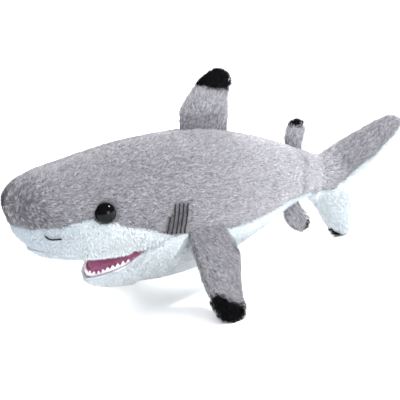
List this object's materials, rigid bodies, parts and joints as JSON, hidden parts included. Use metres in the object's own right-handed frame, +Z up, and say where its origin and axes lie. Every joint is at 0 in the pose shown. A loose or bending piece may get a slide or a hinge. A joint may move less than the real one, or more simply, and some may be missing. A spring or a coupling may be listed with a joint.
{
  "type": "plush shark",
  "caption": "Stuffed toy shark in grey and white pile plush with an open mouth, black fin tips and soft fins, jaw and tail that flex and spring back.",
  "frame": {"origin": "on the ground, under the middle of the toy's bounding box", "axes": "+X from nose to tail, +Z up, the shark's left side is towards -Y"},
  "size_m": [0.2054, 0.1098, 0.0926],
  "materials": {
    "grey_pile": "short grey pile plush, matte",
    "white_pile": "short white pile plush, matte",
    "black_pile": "short black pile plush, matte",
    "pink_lining": "brushed pink tricot, matte",
    "white_felt": "white felt, matte",
    "black_thread": "black embroidery thread, slight sheen",
    "eye_black": "polished black",
    "washer_plastic": "natural white",
    "fibre_fill": "loose white polyester fibre"
  },
  "bodies": {
    "torso": {"back_panel_left": "grey_pile", "back_panel_right": "grey_pile", "muzzle_panel": "white_pile", "belly_panel": "white_pile", "palate_lining": "pink_lining", "trunk_stuffing": "fibre_fill", "eye_left": "eye_black", "eye_washer_left": "washer_plastic", "gill_stitches_left": "black_thread", "nostril_stitch_left": "black_thread", "upper_teeth_left": "white_felt", "eye_right": "eye_black", "eye_washer_right": "washer_plastic", "gill_stitches_right": "black_thread", "nostril_stitch_right": "black_thread", "upper_teeth_right": "white_felt"},
    "jaw": {"jaw_skin": "white_pile", "mouth_floor_lining": "pink_lining", "jaw_stuffing": "fibre_fill", "lower_teeth": "white_felt"},
    "tail": {"tail_panel_left": "grey_pile", "tail_panel_right": "grey_pile", "tail_under_panel": "white_pile", "tail_lobe_tip": "black_pile", "tail_stuffing": "fibre_fill"},
    "dorsal_fin": {"dorsal_fin_skin": "grey_pile", "dorsal_fin_tip": "black_pile", "dorsal_fin_stuffing": "fibre_fill"},
    "second_dorsal_fin": {"second_dorsal_fin_skin": "grey_pile", "second_dorsal_fin_tip": "black_pile", "second_dorsal_fin_stuffing": "fibre_fill"},
    "pectoral_left_fin": {"pectoral_left_fin_skin": "grey_pile", "pectoral_left_fin_tip": "black_pile", "pectoral_left_fin_stuffing": "fibre_fill"},
    "pelvic_left_fin": {"pelvic_left_fin_skin": "grey_pile", "pelvic_left_fin_tip": "black_pile", "pelvic_left_fin_stuffing": "fibre_fill"},
    "pectoral_right_fin": {"pectoral_right_fin_skin": "grey_pile", "pectoral_right_fin_tip": "black_pile", "pectoral_right_fin_stuffing": "fibre_fill"},
    "pelvic_right_fin": {"pelvic_right_fin_skin": "grey_pile", "pelvic_right_fin_tip": "black_pile", "pelvic_right_fin_stuffing": "fibre_fill"}
  },
  "joints": [
    {"name": "jaw_hinge", "type": "hinge", "parent": "torso", "child": "jaw", "pos_m": [-0.0521, 0, 0.03132], "axis": [0, 1, 0], "range_deg": [-6, 20], "stiffness_Nm_per_rad": 0.05},
    {"name": "tail_sway", "type": "hinge", "parent": "torso", "child": "tail", "pos_m": [0.05675, 0.0113, 0.03243], "axis": [0.1736, 0, 0.9848], "range_deg": [-22, 22], "stiffness_Nm_per_rad": 0.3},
    {"name": "dorsal_fin_flop", "type": "hinge", "parent": "torso", "child": "dorsal_fin", "pos_m": [-0.002, 0.0009, 0.07072], "axis": [0.9848, 0, -0.1736], "range_deg": [-40, 40], "stiffness_Nm_per_rad": 0.05},
    {"name": "second_dorsal_fin_flop", "type": "hinge", "parent": "torso", "child": "second_dorsal_fin", "pos_m": [0.04935, 0.0092, 0.04806], "axis": [0.9667, 0.1908, -0.1705], "range_deg": [-40, 40], "stiffness_Nm_per_rad": 0.03},
    {"name": "pectoral_left_fold", "type": "hinge", "parent": "torso", "child": "pectoral_left_fin", "pos_m": [-0.02424, -0.0268, 0.03098], "axis": [-0.9848, 0, 0.1736], "range_deg": [-10, 26], "stiffness_Nm_per_rad": 0.3},
    {"name": "pectoral_right_fold", "type": "hinge", "parent": "torso", "child": "pectoral_right_fin", "pos_m": [-0.02424, 0.0268, 0.03098], "axis": [0.9848, 0, -0.1736], "range_deg": [-10, 26], "stiffness_Nm_per_rad": 0.3},
    {"name": "pelvic_left_fold", "type": "hinge", "parent": "torso", "child": "pelvic_left_fin", "pos_m": [0.03456, -0.00255, 0.02406], "axis": [-0.9667, -0.1908, 0.1705], "range_deg": [-15, 33], "stiffness_Nm_per_rad": 0.03},
    {"name": "pelvic_right_fold", "type": "hinge", "parent": "torso", "child": "pelvic_right_fin", "pos_m": [0.03456, 0.01625, 0.02406], "axis": [0.9667, 0.1908, -0.1705], "range_deg": [-40, 15], "stiffness_Nm_per_rad": 0.03}
  ]
}
